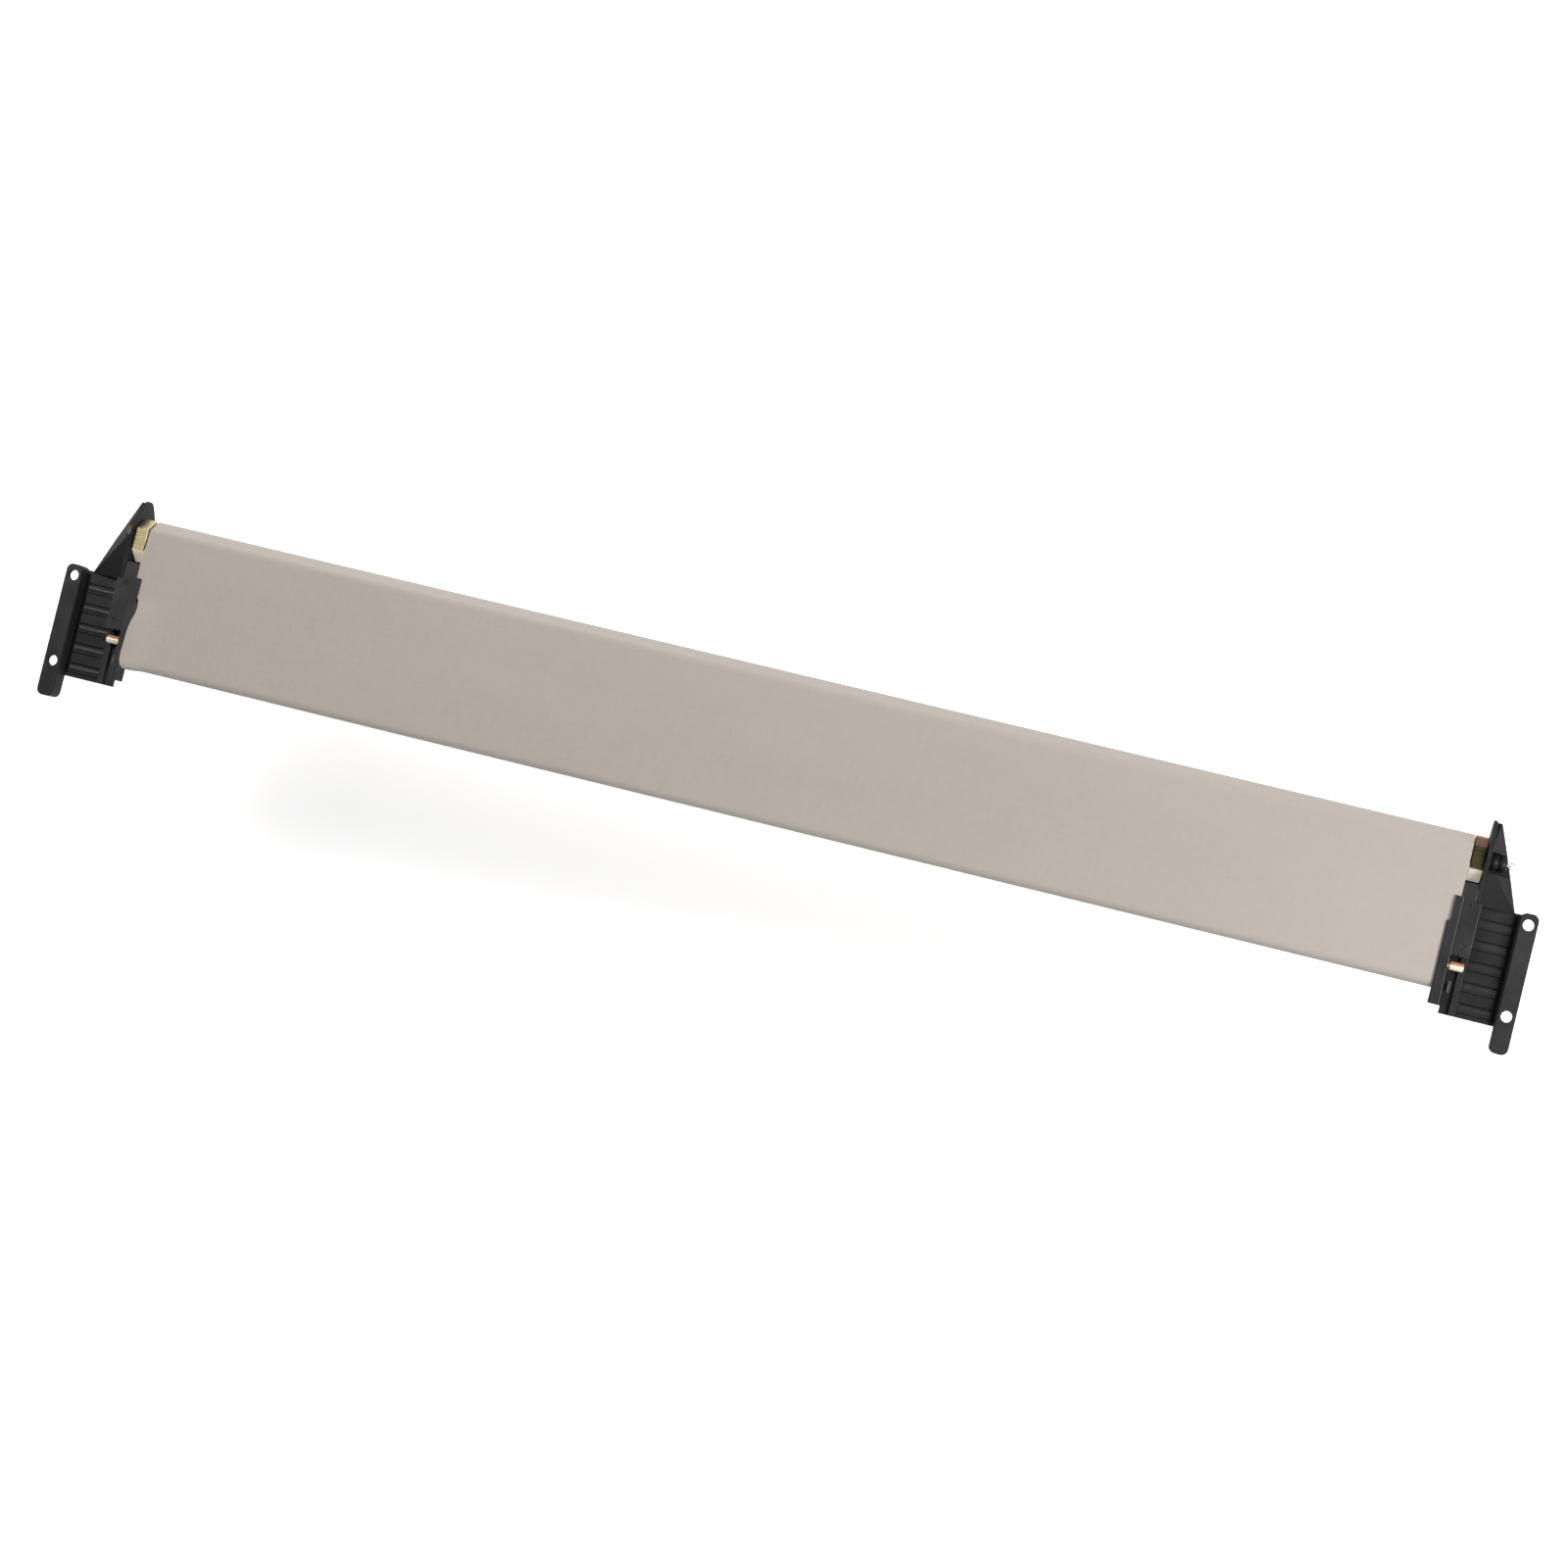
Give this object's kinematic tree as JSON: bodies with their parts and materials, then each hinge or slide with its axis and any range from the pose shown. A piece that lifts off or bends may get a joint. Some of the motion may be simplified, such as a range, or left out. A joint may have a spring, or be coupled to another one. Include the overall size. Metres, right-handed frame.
{
  "type": "roller blind",
  "caption": "Spring roller blind for a vehicle roof opening: wound fabric with a pull bar sliding between two moulded black end brackets with gold hexagonal collars.",
  "frame": {"origin": "midway between the four screw holes, in the plane of the two screw faces", "axes": "+X along the roller towards the end with the lock collars, -Y the way the bar is pulled, +Z out of the screw faces"},
  "size_m": [0.945, 0.1363, 0.0395],
  "materials": {
    "black_plastic": "satin moulded, fine grain",
    "gold_zinc": "smooth yellow-gold plating",
    "steel": "bright zinc",
    "spring_steel": "oiled drawn wire",
    "aluminium": "mill-finish extrusion",
    "fabric": "warm grey woven cloth, matt with a faint sheen",
    "grey_plastic": "natural grey moulding"
  },
  "bodies": {
    "brackets": {"left_bracket": "black_plastic", "right_bracket": "black_plastic", "left_guide_cover": "black_plastic", "right_guide_cover": "black_plastic", "left_guide_leaf": "grey_plastic", "right_guide_leaf": "grey_plastic", "left_bush": "black_plastic", "right_bush": "black_plastic", "left_axle": "steel", "right_axle": "steel", "right_lock_collar": "black_plastic", "spring_shaft": "steel", "spring_anchor": "grey_plastic", "torsion_spring": "spring_steel", "fabric_panel": "fabric"},
    "roller": {"roller_tube": "steel", "fabric_roll": "fabric", "left_collar": "gold_zinc", "right_collar": "gold_zinc", "drive_plug": "grey_plastic"},
    "pull_bar_body": {"pull_bar": "aluminium", "bar_spline": "grey_plastic", "left_end_cap": "black_plastic", "right_end_cap": "black_plastic", "left_guide_pin": "gold_zinc", "right_guide_pin": "gold_zinc"},
    "ring": {"lock_ring": "steel"}
  },
  "joints": [
    {"name": "blind_pull", "type": "slide", "parent": "brackets", "child": "pull_bar_body", "axis": [0, -1, 0], "range_m": [0, 0.65], "stiffness_N_per_m": 12, "springref_m": -0.6, "deforming": ["fabric_panel"]},
    {"name": "roller_turn", "type": "hinge", "parent": "brackets", "child": "roller", "pos_m": [0, 0.06, 0.002], "axis": [1, 0, 0], "range_deg": [0, 3130]},
    {"name": "ring_swing", "type": "hinge", "parent": "brackets", "child": "ring", "pos_m": [0.4484, 0.06, 0.002], "axis": [0, 1, 0], "range_deg": [-60, 60]}
  ],
  "couplings": [
    {"joint": "roller_turn", "follows": "blind_pull", "rad_per_m": 83.776}
  ]
}
